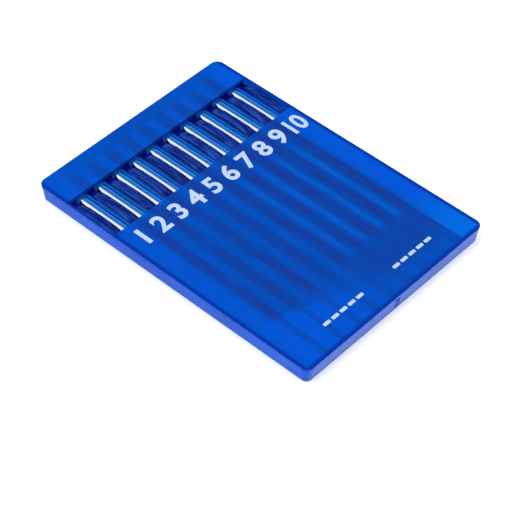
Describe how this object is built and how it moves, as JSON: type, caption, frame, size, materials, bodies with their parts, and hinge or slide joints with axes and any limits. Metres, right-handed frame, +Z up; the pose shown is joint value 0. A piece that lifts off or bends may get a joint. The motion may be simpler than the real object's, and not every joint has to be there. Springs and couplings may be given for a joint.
{
  "type": "sewing machine needle magazine",
  "caption": "Flat translucent blue case that holds a row of round-shank sewing machine needles, each in its own channel, with an open window across the shanks between arched ribs.",
  "frame": {"origin": "middle of the underside of the case", "axes": "+X along the needles from their butts to their points, +Y across the row of needles, +Z up out of the cover"},
  "size_m": [0.058, 0.042, 0.0032],
  "materials": {
    "tray_plastic": "translucent blue, glossy",
    "cover_plastic": "translucent blue, glossy",
    "needle_steel": "polished plated steel"
  },
  "bodies": {
    "root": {"tray": "tray_plastic", "cover": "cover_plastic", "needle_01": "needle_steel", "needle_02": "needle_steel", "needle_03": "needle_steel", "needle_04": "needle_steel", "needle_05": "needle_steel", "needle_06": "needle_steel", "needle_07": "needle_steel", "needle_08": "needle_steel", "needle_09": "needle_steel", "needle_10": "needle_steel"}
  },
  "joints": []
}
